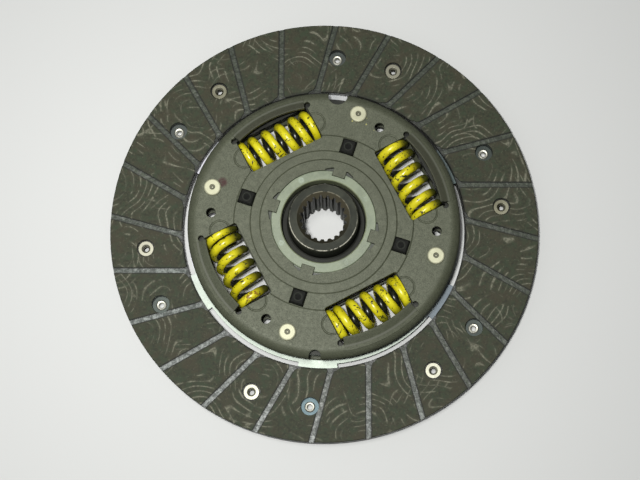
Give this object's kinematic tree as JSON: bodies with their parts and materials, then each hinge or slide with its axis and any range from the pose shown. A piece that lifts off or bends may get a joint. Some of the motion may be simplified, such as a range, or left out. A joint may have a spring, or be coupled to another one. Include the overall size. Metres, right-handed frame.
{
  "type": "clutch disc",
  "caption": "Round dry clutch disc: two grooved friction rings on a waved cushion disc, a splined hub and a torsion damper of coil springs between two guide plates.",
  "frame": {"origin": "on the disc's axis of turning, in the plane of the rear friction face it lies on", "axes": "+Z along the hub axis towards the long end of the hub; +X radial, with a spring window centred 27.5 degrees anticlockwise from it"},
  "size_m": [0.19, 0.19, 0.0267],
  "materials": {
    "facing": "dull moulded friction lining, woven yarn showing in the ground face",
    "spring_steel": "bright spring steel with faint heat tint",
    "rivet": "pale plated steel",
    "phosphated_steel": "matte grey phosphate",
    "zinc_steel": "pale yellow zinc",
    "hub_steel": "oiled machined steel",
    "flange_steel": "dark phosphated steel",
    "nylon": "pale green-white nylon, slightly translucent",
    "washer_steel": "blued steel",
    "black_plastic": "black moulded plastic",
    "friction_composite": "dark resin composite",
    "spring_paint": "glossy yellow paint with black chips"
  },
  "bodies": {
    "disc": {"front_facing": "facing", "rear_facing": "facing", "cushion_disc": "spring_steel", "front_facing_rivets": "rivet", "rear_facing_rivets": "rivet", "front_cover_plate": "phosphated_steel", "rear_guide_plate": "phosphated_steel", "stop_rivets": "zinc_steel", "front_bush": "nylon", "thrust_washer": "washer_steel", "friction_ring": "black_plastic", "front_diaphragm_washer": "washer_steel", "rear_bush": "nylon", "rear_friction_washer": "friction_composite", "rear_diaphragm_washer": "washer_steel"},
    "hub": {"hub": "hub_steel", "hub_flange": "flange_steel"},
    "springs": {"damper_spring_1": "spring_paint", "damper_spring_2": "spring_paint", "damper_spring_3": "spring_paint", "damper_spring_4": "spring_paint"}
  },
  "joints": [
    {"name": "damper_turn", "type": "hinge", "parent": "disc", "child": "hub", "pos_m": [0, 0, 0.01155], "axis": [0, 0, 1], "range_deg": [-12, 12], "stiffness_Nm_per_rad": 1780, "deforming": ["damper_spring_1", "damper_spring_2", "damper_spring_3", "damper_spring_4"]},
    {"name": "springs_turn", "type": "hinge", "parent": "disc", "child": "springs", "pos_m": [0, 0, 0.01155], "axis": [0, 0, 1], "range_deg": [-6, 6]}
  ],
  "couplings": [
    {"joint": "springs_turn", "follows": "damper_turn", "ratio": 0.5}
  ]
}
